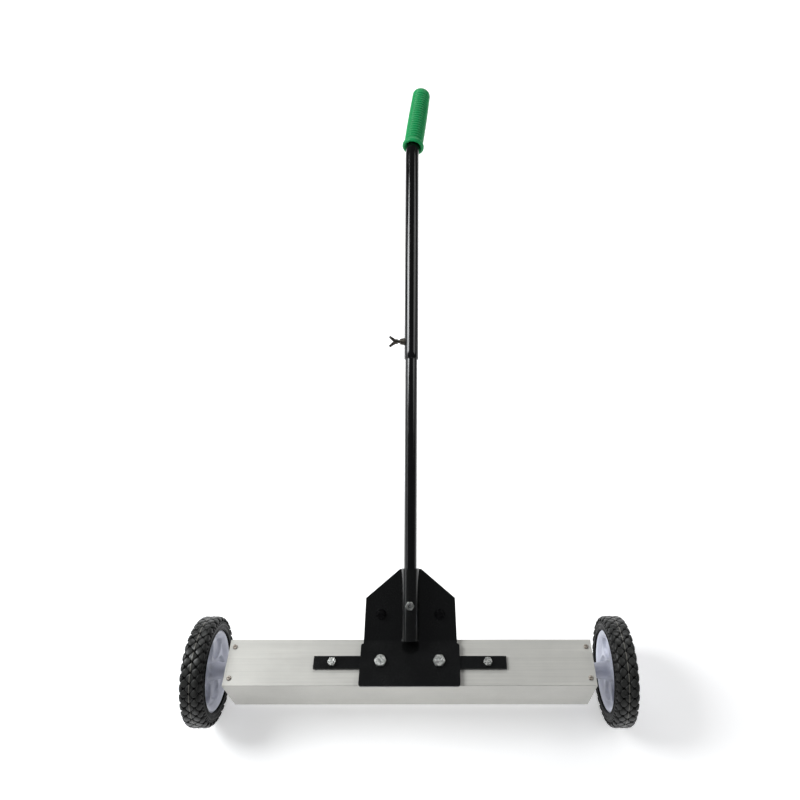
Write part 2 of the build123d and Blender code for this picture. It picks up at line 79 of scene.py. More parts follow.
# --- Node helpers for materials ----------------------------------------------
class Nodes:
    """A short way to write one material's node tree around its Principled shader."""

    def __init__(self, name, **shader):
        self.material = bpy.data.materials.new(name)
        self.material.use_nodes = True
        self.tree = self.material.node_tree
        self.shader = self.tree.nodes["Principled BSDF"]
        for socket, value in shader.items():
            self.shader.inputs[socket.replace("_", " ")].default_value = value
        self.coords = self.add("ShaderNodeTexCoord").outputs["Object"]

    def add(self, kind, **settings):
        node = self.tree.nodes.new(kind)
        for key, value in settings.items():
            setattr(node, key, value)
        return node

    def link(self, source, target):
        self.tree.links.new(source, target)

    def stretched(self, scale):
        """Object coordinates scaled along each axis."""
        mapping = self.add("ShaderNodeMapping")
        mapping.inputs["Scale"].default_value = scale
        self.link(self.coords, mapping.inputs["Vector"])
        return mapping.outputs["Vector"]

    def noise(self, scale, detail=4.0, rough=0.55, vector=None):
        """Value of a noise texture, in cells per metre."""
        node = self.add("ShaderNodeTexNoise")
        node.inputs["Scale"].default_value = scale
        node.inputs["Detail"].default_value = detail
        node.inputs["Roughness"].default_value = rough
        self.link(vector or self.coords, node.inputs["Vector"])
        return node.outputs["Fac"]

    def remap(self, value, low, high, to_low, to_high):
        """A value mapped from one range to another, clamped."""
        node = self.add("ShaderNodeMapRange")
        for index, number in enumerate((low, high, to_low, to_high)):
            node.inputs[index + 1].default_value = number
        self.link(value, node.inputs["Value"])
        return node.outputs["Result"]

    def blend(self, factor, first, second):
        """Colour mixed from two colours, or from a colour and a socket, by a factor."""
        node = self.add("ShaderNodeMix", data_type="RGBA")
        self.link(factor, node.inputs["Factor"])
        for socket, value in ((node.inputs["A"], first), (node.inputs["B"], second)):
            if isinstance(value, tuple):
                socket.default_value = (*value, 1)
            else:
                self.link(value, socket)
        return node.outputs["Result"]

    def combine(self, first, second, operation="MULTIPLY"):
        """One value worked out from two, each a number or a socket."""
        node = self.add("ShaderNodeMath", operation=operation)
        for socket, value in zip(node.inputs, (first, second)):
            if isinstance(value, (int, float)):
                socket.default_value = value
            else:
                self.link(value, socket)
        return node.outputs["Value"]

    def attribute(self, name):
        """A value that the mesh stores on its points."""
        return self.add("ShaderNodeAttribute", attribute_name=name).outputs["Fac"]

    def colour(self, source):
        self.link(source, self.shader.inputs["Base Color"])

    def roughness(self, source):
        self.link(source, self.shader.inputs["Roughness"])

    def bump(self, height, strength, distance):
        """Adds one bump layer on top of those already there."""
        node = self.add("ShaderNodeBump")
        node.inputs["Strength"].default_value = strength
        node.inputs["Distance"].default_value = distance
        self.link(height, node.inputs["Height"])
        normal = self.shader.inputs["Normal"]
        if normal.is_linked:
            self.link(normal.links[0].from_socket, node.inputs["Normal"])
        self.link(node.outputs["Normal"], normal)


def brushed_aluminium(name, light, dark):
    """Satin sheet, brushed along its length, with faint handling marks."""
    m = Nodes(name, Metallic=0.34, Specular_IOR_Level=0.35)
    fine = m.noise(1.0, 3, 0.6, m.stretched((5, 2200, 2200)))
    broad = m.noise(1.0, 3, 0.65, m.stretched((3, 420, 420)))
    lines = m.combine(m.combine(fine, 0.7), m.combine(broad, 0.3), "ADD")
    marks = m.noise(14, 5, 0.6)
    specks = m.noise(160, 3, 0.7)
    tone = m.combine(m.remap(marks, 0.3, 0.7, 0, 0.4), m.remap(lines, 0.38, 0.62, 0, 0.6), "ADD")
    m.colour(m.blend(tone, dark, light))
    satin = m.remap(lines, 0.38, 0.62, 0.3, 0.48)
    m.roughness(m.combine(satin, m.remap(specks, 0.4, 0.8, 0.0, 0.1), "ADD"))
    m.bump(lines, 0.25, 0.00004)
    m.bump(marks, 0.2, 0.0004)
    return m.material


def zinc(name, light=(0.66, 0.67, 0.64), dark=(0.20, 0.21, 0.20), low=0.16, high=0.36):
    """Plated steel with the cloudy tone of zinc."""
    m = Nodes(name, Metallic=1.0)
    cloud = m.noise(330, 4, 0.6)
    grain = m.noise(2600, 2, 0.5)
    m.colour(m.blend(m.remap(cloud, 0.38, 0.62, 0, 1), dark, light))
    m.roughness(m.remap(grain, 0.3, 0.7, low, high))
    m.bump(cloud, 0.9, 0.0012)
    return m.material


def enamel(name, colour, rough, peel):
    """Gloss black paint: a slight orange peel, dust in the coat and scuffed, smeared gloss."""
    m = Nodes(name, Coat_Weight=0.25, Coat_Roughness=0.08, Specular_IOR_Level=0.38)
    smear = m.noise(18, 5, 0.6)
    dust = m.noise(1900, 2, 0.5)
    m.colour(m.blend(m.remap(dust, 0.66, 0.8, 0, 0.35), colour, (0.05, 0.05, 0.047)))
    gloss = m.remap(smear, 0.35, 0.7, rough, rough + 0.14)
    m.roughness(m.combine(gloss, m.remap(dust, 0.6, 0.8, 0, 0.2), "ADD"))
    m.bump(m.noise(420, 2, 0.5), 0.3, peel)
    return m.material


def plain(name, light, dark, scale, low, high, bump, metallic=0.0, **shader):
    """Cloudy two-tone surface with fine grain, for pieces that are seldom seen."""
    m = Nodes(name, Metallic=metallic, **shader)
    cloud = m.noise(scale, 5, 0.6)
    grain = m.noise(scale * 12, 2, 0.5)
    m.colour(m.blend(m.remap(cloud, 0.3, 0.7, 0, 1), dark, light))
    m.roughness(m.remap(grain, 0.3, 0.7, low, high))
    m.bump(grain, 0.3, bump)
    return m.material


def tyre_rubber():
    """Moulded rubber: grooves painted near-black as shade, block tops greyed by abrasion, and a painted
    highlight on the seam where the tone is above 1.
    """
    m = Nodes("tyre_rubber_look")
    tyre_abrasion_and_painted_light = m.attribute("tyre_abrasion_and_painted_light")
    cloud = m.noise(90, 5, 0.6)
    grain = m.noise(1500, 3, 0.6)
    abrasion_and_painted_light = m.combine(m.remap(tyre_abrasion_and_painted_light, 0, 1, 0, 1), m.remap(cloud, 0.3, 0.7, 0.35, 1))
    # Near-black grooves are painted shade, the grey block tops are abrasion, and the pale seam colour is a
    # painted highlight.
    painted_groove_shade, block_grey, painted_seam_highlight = (0.0015, 0.0016, 0.0018), (0.048, 0.049, 0.046), (0.22, 0.21, 0.18)
    body = m.blend(abrasion_and_painted_light, painted_groove_shade, block_grey)
    m.colour(m.blend(m.remap(tyre_abrasion_and_painted_light, 1.1, 2.0, 0, 0.8), body, painted_seam_highlight))
    m.link(m.remap(tyre_abrasion_and_painted_light, 0, 1, 0.09, 0.36), m.shader.inputs["Specular IOR Level"])
    matt = m.remap(cloud, 0.3, 0.7, 0.2, 0.36)
    m.roughness(m.combine(matt, m.remap(tyre_abrasion_and_painted_light, 0, 1, 0.16, 0.0), "ADD"))
    m.bump(grain, 0.35, 0.00012)
    return m.material


def hub_plastic():
    """Pale grey moulded plastic with flow marks and patchy painted shade in its recesses."""
    m = Nodes("hub_plastic_look", Specular_IOR_Level=0.5)
    painted_shade = m.attribute("painted_shade")
    flow = m.noise(40, 4, 0.6)
    grain = m.noise(900, 3, 0.6)
    shade, light, painted_shade_grey = (0.58, 0.60, 0.70), (0.68, 0.695, 0.785), (0.33, 0.345, 0.39)
    unshaded_plastic = m.blend(m.remap(flow, 0.3, 0.7, 0, 1), shade, light)
    # Patchy painted shade darkens the petals, the rim's foot and the ring round the boss.
    shade_amount = m.combine(painted_shade, m.remap(m.noise(160, 5, 0.7), 0.35, 0.7, 0.1, 1))
    m.colour(m.blend(shade_amount, unshaded_plastic, painted_shade_grey))
    m.roughness(m.remap(grain, 0.3, 0.7, 0.34, 0.48))
    m.bump(grain, 0.2, 0.00008)
    m.bump(flow, 0.15, 0.0003)
    return m.material


def grip_rubber():
    """Green ribbed grip: soft sheen, with painted light on the rib tops and painted shade in the grooves
    between.
    """
    m = Nodes("green_grip_look", Specular_IOR_Level=0.22, Coat_Weight=0.05, Coat_Roughness=0.2)
    painted_crest_light = m.attribute("tyre_abrasion_and_painted_light")
    cloud = m.noise(60, 4, 0.6)
    grain = m.noise(1200, 3, 0.6)
    deep, green, painted_crest_green = (0.003, 0.25, 0.066), (0.004, 0.30, 0.082), (0.012, 0.38, 0.12)
    body = m.blend(m.remap(cloud, 0.3, 0.7, 0, 1), deep, green)
    # Painted light makes the rib tops paler; the grooves stay darker as painted shade.
    m.colour(m.blend(m.combine(painted_crest_light, 0.35), body, painted_crest_green))
    m.roughness(m.remap(grain, 0.3, 0.7, 0.36, 0.52))
    m.bump(grain, 0.3, 0.0001)
    return m.material


LOOKS = {
    "housing_aluminium": brushed_aluminium("housing_aluminium_look",
                                           (0.68, 0.672, 0.625), (0.545, 0.54, 0.505)),
    "cover_aluminium": brushed_aluminium("cover_aluminium_look",
                                         (0.55, 0.55, 0.54), (0.46, 0.46, 0.45)),
    "zinc_steel": zinc("zinc_steel_look"),
    "screw_steel": zinc("screw_steel_look", (0.50, 0.45, 0.39), (0.27, 0.24, 0.21), 0.3, 0.5),
    "ferrite": plain("ferrite_look", (0.10, 0.10, 0.11), (0.05, 0.05, 0.055), 120, 0.5, 0.75, 0.0001),
    "bare_steel": plain("bare_steel_look", (0.55, 0.54, 0.52), (0.38, 0.37, 0.36), 70, 0.3, 0.5, 0.00005,
                        metallic=1.0),
    "black_enamel": enamel("black_enamel_look", (0.0035, 0.0038, 0.0038), 0.16, 0.00006),
    "tube_enamel": enamel("tube_enamel_look", (0.002, 0.002, 0.0022), 0.1, 0.00003),
    "black_zinc": zinc("black_zinc_look", (0.030, 0.030, 0.031), (0.010, 0.010, 0.011), 0.14, 0.3),
    "dark_steel": zinc("dark_steel_look", (0.10, 0.09, 0.075), (0.035, 0.032, 0.028), 0.25, 0.45),
    "green_grip": grip_rubber(),
    "tyre_rubber": tyre_rubber(),
    "hub_plastic": hub_plastic(),
    "bush_nylon": plain("bush_nylon_look", (0.84, 0.82, 0.77), (0.74, 0.72, 0.67), 150, 0.4, 0.6, 0.00008),
}
for entry in frame["record"]["subparts"]:
    mesh = frame["nodes"][entry["node"]].data
    for index in range(len(mesh.materials)):
        mesh.materials[index] = LOOKS[entry["material_slot"]]


# --- Shared mesh builders ----------------------------------------------------
def smooth_step(low, high, value):
    """0 below low, 1 above high, with a soft start and end."""
    part = min(max((value - low) / (high - low), 0.0), 1.0)
    return part * part * (3 - 2 * part)


def grid_mesh(name, rows, attribute=None, close_ends=False):
    """A tube-like mesh from rows of points, each row a closed loop; values go to a named attribute."""
    around = len(rows[0])
    mesh = bpy.data.meshes.new(name)
    faces = []
    for row in range(len(rows) - 1):
        for step in range(around):
            following = (step + 1) % around
            faces.append((row * around + step, row * around + following,
                          (row + 1) * around + following, (row + 1) * around + step))
    if close_ends:
        faces.append(tuple(range(around))[::-1])
        faces.append(tuple((len(rows) - 1) * around + step for step in range(around)))
    mesh.from_pydata([point for row in rows for point in row], [], faces)
    if attribute:
        layer = mesh.attributes.new(attribute[0], "FLOAT", "POINT")
        layer.data.foreach_set("value", attribute[1])
    mesh.shade_smooth()
    return mesh


def piece(name, mesh, nodes, body, slot, matrix=None):
    """Puts one detailed piece in the scene in place of its CAD nodes."""
    thing = bpy.data.objects.new(name, mesh)
    bpy.context.scene.collection.objects.link(thing)
    thing.matrix_world = matrix or Matrix()
    bpy.context.view_layer.update()
    if not mesh.materials:
        mesh.materials.append(LOOKS[slot])
    if nodes:
        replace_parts(thing, *nodes)
    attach(thing, body)
    return thing


def frame_along(origin, direction, near=Vector((1, 0, 0))):
    """A matrix with its Z along a direction and its X as near as it can be to another."""
    up = Vector(direction).normalized()
    side = (near - up * near.dot(up)).normalized()
    turned = Matrix((side, up.cross(side), up)).transposed().to_4x4()
    return Matrix.Translation(origin) @ turned


def turns(count):
    """Evenly spaced angles round a full circle."""
    return [2 * pi * step / count for step in range(count)]


def about_x(along, radius, angle):
    """A point in metres from mm, at an angle about the X axis."""
    return (along * MM, radius * MM * cos(angle), radius * MM * sin(angle))


def about_z(radius, height, angle):
    """A point in metres from mm, at an angle about the Z axis."""
    return (radius * MM * cos(angle), radius * MM * sin(angle), height * MM)


# --- Wheels ------------------------------------------------------------------
WHEEL_R, HUB_R, WHEEL_HALF = 89.0, 66.0, 19.0
SHOULDER_R = 9.0
BLOCKS_ROUND, COLUMNS_OUT, COLUMN_PITCH = 34, 2, 8.5
BLOCK_HALF_WIDTH, BLOCK_HALF_LENGTH, BLOCK_HEIGHT, BLOCK_CURVE = 6.7, 7.0, 3.0, 1.45
TOP_CLEARANCE, SEAM_FILL, SEAM_HEIGHT, SIDE_DROP = 0.35, 0.65, 0.6, 0.9
TICK_HEIGHT, SIDE_RIB_HEIGHT, BEAD_RIB_HEIGHT = 0.9, 0.9, 1.0
BEAD_HALF, BEAD_R, SEAT_HALF = 18.4, 66.6, 16.5
SECTION_STEPS, AROUND_TYRE = 92, BLOCKS_ROUND * 20

# Arc lengths from the crown, in mm: where features lie, and from where to where others fade.
TICK_AT, SIDE_RIB_AT, BEAD_RIB_AT = 25.6, 29.0, 36.0
GROOVE_RUNOUT, SIDE_DROP_START, CROWN_WEAR, SEAM_EDGE = (27.5, 23.5), (25, 28), (24, 4), (0.75, 0.25)


def tyre_section():
    """Outer outline from one bead to the other: (arc length from the crown, x, radius, out x, out r).

    The rows lie closer together towards the beads.
    """
    flat = WHEEL_HALF - SHOULDER_R
    arc = SHOULDER_R * pi / 2
    wall = WHEEL_R - SHOULDER_R - HUB_R
    total = flat + arc + wall
    places = []
    for index in range(-SECTION_STEPS, SECTION_STEPS + 1):
        part = abs(index) / SECTION_STEPS
        s = total * (1.25 * part - 0.25 * part * part)
        side = -1 if index < 0 else 1
        if s <= flat:
            x, r, out_x, out_r = s, WHEEL_R, 0.0, 1.0
        elif s <= flat + arc:
            turn = (s - flat) / SHOULDER_R
            x, r = flat + SHOULDER_R * sin(turn), WHEEL_R - SHOULDER_R * (1 - cos(turn))
            out_x, out_r = sin(turn), cos(turn)
        else:
            x, r, out_x, out_r = WHEEL_HALF, WHEEL_R - SHOULDER_R - (s - flat - arc), 1.0, 0.0
        places.append((side * s, side * x, r, side * out_x, out_r))
    return places


def tread_height(s, angle):
    """Height of the interlocked rounded diamonds above the grooves, from 0 to 1."""
    best = 0.0
    nearest = round(s / COLUMN_PITCH)
    for column in range(max(nearest - 1, -COLUMNS_OUT), min(nearest + 1, COLUMNS_OUT) + 1):
        across = abs(s - column * COLUMN_PITCH) / BLOCK_HALF_WIDTH
        places_round = angle / (2 * pi) * BLOCKS_ROUND + (0.5 if column % 2 else 0.0)
        off_block = abs(places_round - round(places_round))
        along = off_block * 2 * pi * WHEEL_R / BLOCKS_ROUND / BLOCK_HALF_LENGTH
        inside = 1.0 - (across ** BLOCK_CURVE + along ** BLOCK_CURVE)
        wall, dome = smooth_step(-0.02, 0.16, inside), smooth_step(0.0, 0.9, inside)
        best = max(best, 0.86 * wall + 0.14 * dome)
    return best


def tyre_relief(s, angle):
    """How far the surface stands out from the plain section, and its tone: abrasion on the raised tops,
    painted shade in the grooves, and above 1 a painted highlight on the seam.
    """
    off_crown = abs(s)
    # Blocks stand between grooves that run out over the shoulder.
    raised = tread_height(s, angle)
    groove = BLOCK_HEIGHT * smooth_step(*GROOVE_RUNOUT, off_crown)
    # Two short ticks for each block end the pattern, with a rib on the wall and one at the bead.
    phase = abs((angle / (2 * pi) * BLOCKS_ROUND * 2) % 1.0 - 0.5)
    tick = TICK_HEIGHT * smooth_step(0.30, 0.16, phase) * smooth_step(0, 0.6, 2 - abs(off_crown - TICK_AT))
    rib = SIDE_RIB_HEIGHT * smooth_step(1.3, 0.5, abs(off_crown - SIDE_RIB_AT))
    bead = BEAD_RIB_HEIGHT * smooth_step(2.0, 1.0, abs(off_crown - BEAD_RIB_AT))
    side_drop = SIDE_DROP * smooth_step(*SIDE_DROP_START, off_crown)
    # The mould's seam runs round the crown and bridges the grooves.
    seam = SEAM_FILL * smooth_step(*SEAM_EDGE, off_crown)
    filled = max(raised, 1.3 * seam)
    out = (-groove * (1 - min(1.0, filled)) - TOP_CLEARANCE + SEAM_HEIGHT * seam + tick + rib + bead
           - side_drop)
    # The tone is abrasion on raised tops, most at the crown; it falls to 0 in the grooves, which the material
    # paints as shade, and the seam adds a painted highlight.
    crown = smooth_step(*CROWN_WEAR, off_crown)
    abrasion_and_painted_light = min(1.0, raised * (0.3 + 0.6 * crown) + 0.25 * rib + 0.6 * tick)
    return out, abrasion_and_painted_light + 2.0 * seam


def tyre_mesh():
    """The tyre about the X axis: tread and walls, then the seat on the hub."""
    rows, tyre_abrasion_and_painted_light = [], []
    for s, x, r, out_x, out_r in tyre_section():
        row = []
        for angle in turns(AROUND_TYRE):
            out, abrasion_and_painted_light = tyre_relief(s, angle)
            row.append(about_x(x + out * out_x, r + out * out_r, angle))
            tyre_abrasion_and_painted_light.append(abrasion_and_painted_light)
        rows.append(row)
    for x, r in ((BEAD_HALF, BEAD_R), (SEAT_HALF, HUB_R), (-SEAT_HALF, HUB_R), (-BEAD_HALF, BEAD_R)):
        rows.append([about_x(x, r, angle) for angle in turns(AROUND_TYRE)])
        tyre_abrasion_and_painted_light.extend([0.0] * AROUND_TYRE)
    rows.append(rows[0])
    tyre_abrasion_and_painted_light.extend(tyre_abrasion_and_painted_light[:AROUND_TYRE])
    return grid_mesh("tyre", rows, ("tyre_abrasion_and_painted_light", tyre_abrasion_and_painted_light))


BOSS_R, BOSS_OUT, BOSS_IN, BUSH_R = 15.0, 18.5, 36.0, 7.0
WEB_HALF, WEB_RISE, RIM_HALF = 6.3, 1.6, 15.2
PETALS, PETAL_R, PETAL_HALF, PETAL_DEPTH, PETAL_CURVE = 6, 37.0, 18.5, 5.0, 2.3
LIP_HEIGHT, RING_R, RING_HEIGHT, RIM_BEAD_R = 0.8, 20.0, 0.9, 62.6
RIM_ROUND, BUSH_ROUND = 1.2, 0.6
# Radii between which the hub's faces rise or fall.
WEB_SLOPE, RIM_SWEEP, RIM_EDGE, LIP_FADE = (24, 54), (51.0, 61.5), (64.5, HUB_R), (57, 52)
INNER_BOSS_FOOT, FLARE_WIDTH, OUTER_BOSS_SIDE = BOSS_R - 3.0, 12.0, (18.0, 14.0)
AROUND_HUB = 288


def hub_depth(r, angle, inner):
    """Height of one face of the hub above its middle plane, and how much painted shade it gets."""
    # A thin web rises slightly outwards and sweeps up to the rim.
    web = WEB_HALF + WEB_RISE * smooth_step(*WEB_SLOPE, r)
    rim = web + (RIM_HALF - web) * smooth_step(*RIM_SWEEP, r)
    # The inner boss flares like a trumpet; the outer one is short, with a ring round it.
    if inner:
        part = min(max((r - INNER_BOSS_FOOT) / FLARE_WIDTH, 0.0), 1.0)
        boss = BOSS_IN - (BOSS_IN - web) * (1 - (1 - part) ** 4)
        ring = 0.0
    else:
        boss = web + (BOSS_OUT - web) * smooth_step(*OUTER_BOSS_SIDE, r)
        ring = RING_HEIGHT * smooth_step(1.6, 0.6, abs(r - RING_R))
    # Petal-shaped recesses, each with a raised lip.
    petal = 2 * pi / PETALS
    off_middle = (angle + petal / 2) % petal - petal / 2
    along = (r - PETAL_R) / PETAL_HALF
    across = r * sin(off_middle) / (5.0 + 0.31 * r)
    edge = 1.0 - (abs(along) ** PETAL_CURVE + abs(across) ** PETAL_CURVE)
    hollow = smooth_step(0.0, 0.42, edge)
    lip = LIP_HEIGHT * smooth_step(0.16, 0.0, abs(edge + 0.04))
    bead = smooth_step(1.6, 0.5, abs(r - RIM_BEAD_R))
    # Painted shade lies in the petals' edges and floors, at the rim's foot and round the boss.
    painted_shade = max(smooth_step(0.22, 0.05, abs(edge - 0.12)) * 0.55,
               smooth_step(3.5, 0.5, abs(r - 53)) * 0.35,
               smooth_step(4.0, 0.5, abs(r - 17.5)) * 0.8,
               0.32 * hollow)
    depth = max(rim, boss) - PETAL_DEPTH * hollow + lip * smooth_step(*LIP_FADE, r) + ring + bead
    if r < BUSH_R + BUSH_ROUND / 2:
        depth -= BUSH_ROUND
    return depth - RIM_ROUND * smooth_step(*RIM_EDGE, r), painted_shade


def hub_mesh():
    """The hub about the X axis: its inner face towards +X, then its outer face, then the bore."""
    # The rings crowd together where the inner boss starts to flare.
    radii = [BUSH_R, BUSH_R + BUSH_ROUND, 9, 11, 11.6, 12.0, 12.15, 12.3, 12.5, 12.75, 13.0, 13.3, 13.6, 13.9]
    radii += [14.2 + 0.45 * k for k in range(14)] + [21 + 0.62 * k for k in range(66)]
    radii += [62.2, 62.8, 63.4, 64.2, 65.0, 65.7, HUB_R]
    rows, painted_shade = [], []
    for side, rings in ((1, radii), (-1, radii[::-1])):
        for r in rings:
            row = []
            for angle in turns(AROUND_HUB):
                depth, shade_amount = hub_depth(r, angle, side > 0)
                row.append(about_x(side * depth, r, angle))
                painted_shade.append(shade_amount)
            rows.append(row)
    rows.append(rows[0])
    painted_shade.extend(painted_shade[:AROUND_HUB])
    return grid_mesh("hub", rows, ("painted_shade", painted_shade))


tyre_shape, hub_shape = tyre_mesh(), hub_mesh()
for side in ("left", "right"):
    centre = JOINT_PLACE[side + "_wheel_spin"]
    piece(side + "_tyre_moulded", tyre_shape, [side + "_tyre"], side + "_wheel", "tyre_rubber",
          Matrix.Translation(centre))
    # The hub is drawn with its long boss towards +X, so the right one is turned round.
    facing = Matrix.Rotation(pi if side == "right" else 0.0, 4, "Z")
    piece(side + "_hub_moulded", hub_shape, [side + "_hub"], side + "_wheel", "hub_plastic",
          Matrix.Translation(centre) @ facing)


# --- Handle lines ------------------------------------------------------------
ALONG = Vector(SLIDE["axis"]).normalized()
OUTWARD = Vector((0, -ALONG.z, ALONG.y))
BEND_ANGLE, BEND_TWIST, BEND_RADIUS = radians(14), radians(28), 90.0
SIDEWAYS = Vector((sin(BEND_TWIST), 0, 0)) - OUTWARD * cos(BEND_TWIST)
GRIP_DIR = (ALONG * cos(BEND_ANGLE) + SIDEWAYS * sin(BEND_ANGLE)).normalized()


def turned_node(name, axis):
    """Start point and length of a turned CAD node along its axis."""
    node = frame["nodes"][name]
    points = [node.matrix_world @ vertex.co for vertex in node.data.vertices]
    first = axis.orthogonal().normalized()
    start = Vector()
    for direction in (first, axis.cross(first)):
        reach = [point.dot(direction) for point in points]
        start += direction * (min(reach) + max(reach)) / 2
    reach = [point.dot(axis) for point in points]
    return start + axis * min(reach), max(reach) - min(reach)


# --- Grip --------------------------------------------------------------------
GRIP_R, COLLAR_R, GRIP_BORE_R = 18.0, 20.5, 12.6
COLLAR_ROLL, COLLAR_SLOPE, TIP_ROUND, BORE_END = 2.6, (10.5, 5.0), 10.0, 19.0
RIBS, RIB_PITCH, FIRST_RIB, GROOVE_DEPTH = 20, 5.8, 14.0, 1.25
LAST_RIB = FIRST_RIB + RIB_PITCH * (RIBS - 1)
AROUND_GRIP = 96
mouth, grip_length = turned_node("grip", GRIP_DIR)
grip_mm = grip_length / MM


def grip_radius(height):
    """Outline without the grooves: rolled collar, slight taper, rounded end."""
    collar = (COLLAR_R - GRIP_R) * smooth_step(*COLLAR_SLOPE, height)
    roll = -2.2 * (1 - sqrt(max(0.0, 1 - (max(0.0, COLLAR_ROLL - height) / COLLAR_ROLL) ** 2)))
    taper = -0.7 * smooth_step(FIRST_RIB, grip_mm, height)
    swell = 0.5 * sin(pi * min(max((height - FIRST_RIB) / (grip_mm - 30), 0), 1))
    radius = GRIP_R + collar + roll + taper + swell
    if height > grip_mm - TIP_ROUND:
        part = (height - grip_mm + TIP_ROUND) / TIP_ROUND
        radius = (radius - TIP_ROUND) + TIP_ROUND * sqrt(max(0.0, 1 - part * part))
    return radius


def grip_groove(height, angle):
    """Depth of the grooves between the ribs, which stop at a smooth strip along each moulding line."""
    if not FIRST_RIB - 3 < height < LAST_RIB + 3:
        return 0.0
    phase = abs(((height - FIRST_RIB) / RIB_PITCH) % 1.0 - 0.5) * 2
    strip = smooth_step(0.10, 0.24, abs(sin(angle)))
    return GROOVE_DEPTH * smooth_step(0.45, 1.0, phase) * strip


def grip_mesh():
    """The grip along Z from its mouth: bore, flared mouth, ribbed outside and closed tip."""
    inside = [(GRIP_BORE_R, grip_mm - BORE_END), (GRIP_BORE_R, 5.5), (13.4, 3.4), (15.0, 1.5), (16.6, 0.35),
              (17.6, 0.0)]
    heights = [COLLAR_ROLL * (1 - cos(pi / 2 * k / 6)) for k in range(7)]
    heights += [COLLAR_ROLL + (grip_mm - COLLAR_ROLL - TIP_ROUND) * k / 300 for k in range(1, 301)]
    heights += [grip_mm - TIP_ROUND + TIP_ROUND * sin(pi / 2 * k / 16) for k in range(1, 17)]
    rows, painted_crest_light = [], []
    for radius, height in inside:
        rows.append([about_z(radius, height, angle) for angle in turns(AROUND_GRIP)])
        painted_crest_light.extend([0.0] * AROUND_GRIP)
    for height in heights:
        row = []
        for angle in turns(AROUND_GRIP):
            groove = grip_groove(height, angle)
            part_line = 0.18 * smooth_step(0.03, 0.0, abs(sin(angle)))
            row.append(about_z(grip_radius(height) - groove + part_line, height, angle))
            # Painted light: full on the rib tops and smooth strips, none in the grooves.
            painted_crest_light.append(max(0.0, 1 - groove / 0.6))
        rows.append(row)
    rows.append([about_z(0.02, grip_mm, angle) for angle in turns(AROUND_GRIP)])
    painted_crest_light.extend([1.0] * AROUND_GRIP)
    return grid_mesh("grip", rows, ("tyre_abrasion_and_painted_light", painted_crest_light))


grip_shape = grip_mesh()
grip_shape.transform(frame_along(mouth, GRIP_DIR))
piece("grip_moulded", grip_shape, ["grip"], "upper_handle", "green_grip")


# --- Tubes -------------------------------------------------------------------
LOWER_R, LOWER_BORE_R, UPPER_R, UPPER_BORE_R = 10.75, 9.25, 12.5, 10.8
GRIP_MOUTH_FROM_BEND, TUBE_IN_GRIP = 12.0, 124.0
AROUND_TUBE = 72

# Places along the handle's centre line, in mm from the bracket's fold.
LOWER_BOTTOM_S, UPPER_BOTTOM_S, BEND_S = 5.0, 483.0, 888.0


def tube_mesh(name, stations, outer, bore, lip=0.5):
    """A round tube through stations of (centre, direction), metres, with softly broken ends."""
    rows = []

    def loop(station, radius, shift=0.0):
        centre, direction = station
        here = frame_along(centre + direction * shift * MM, direction)
        rows.append([tuple(here @ Vector(about_z(radius, 0, angle))) for angle in turns(AROUND_TUBE)])

    end_profile = ((bore, 0.3), (bore + 0.25, 0.0), (outer - lip, 0.0), (outer - 0.3 * lip, 0.3 * lip))
    for radius, shift in end_profile:
        loop(stations[0], radius, shift)
    loop(stations[0], outer, lip)
    for station in stations[1:-1]:
        loop(station, outer)
    loop(stations[-1], outer, -lip)
    for radius, shift in reversed(end_profile):
        loop(stations[-1], radius, -shift)
    for station in reversed(stations[1:-1]):
        loop(station, bore)
    rows.append(rows[0])
    return grid_mesh(name, rows)


def straight_stations(start, direction, length, count):
    """Even stations along a straight stretch, the start included."""
    return [(start + direction * length * k / count, direction) for k in range(count + 1)]


def bend_stations(corner, tangent, count):
    """Stations round the bend between the handle and the grip, its start left out."""
    stations = []
    for k in range(1, count + 1):
        turn = BEND_ANGLE * k / count
        place = (corner - ALONG * tangent + ALONG * BEND_RADIUS * MM * sin(turn)
                 + SIDEWAYS * BEND_RADIUS * MM * (1 - cos(turn)))
        stations.append((place, ALONG * cos(turn) + SIDEWAYS * sin(turn)))
    return stations


lower_start, lower_length = turned_node("lower_tube", ALONG)
lower_stations = straight_stations(lower_start, ALONG, lower_length, 40)
piece("lower_tube_drawn", tube_mesh("lower_tube_drawn", lower_stations, LOWER_R, LOWER_BORE_R),
      ["lower_tube"], "chassis", "tube_enamel")

upper_start = lower_start + ALONG * (UPPER_BOTTOM_S - LOWER_BOTTOM_S) * MM
bend_corner = lower_start + ALONG * (BEND_S - LOWER_BOTTOM_S) * MM
tangent = BEND_RADIUS * MM * sin(BEND_ANGLE / 2) / cos(BEND_ANGLE / 2)
upper_stations = straight_stations(upper_start, ALONG, (bend_corner - upper_start).length - tangent, 30)
upper_stations += bend_stations(bend_corner, tangent, 12)
bend_end = upper_stations[-1][0]
in_grip_end = bend_corner + GRIP_DIR * (GRIP_MOUTH_FROM_BEND + TUBE_IN_GRIP) * MM
upper_stations += straight_stations(bend_end, GRIP_DIR, (in_grip_end - bend_end).length, 10)[1:]
piece("upper_tube_bent", tube_mesh("upper_tube_bent", upper_stations, UPPER_R, UPPER_BORE_R, lip=0.8),
      ["upper_tube"], "upper_handle", "tube_enamel")


# --- Sheet, plate and fasteners ----------------------------------------------
SMALL_PIECE_ROUND = 0.3
EDGE_ROUND = {
    "housing_shell": 0.9, "left_end_cap": 0.7, "right_end_cap": 0.7, "bottom_cover": 0.3,
    "handle_bracket": 0.8, "mounting_strap": 0.6, "bracket_stiffener": 0.6, "handle_socket": 0.6,
    "magnet_blocks": 0.8, "backing_plate": 0.4, "wing_screw": 0.6, "clamp_boss": 0.5,
}


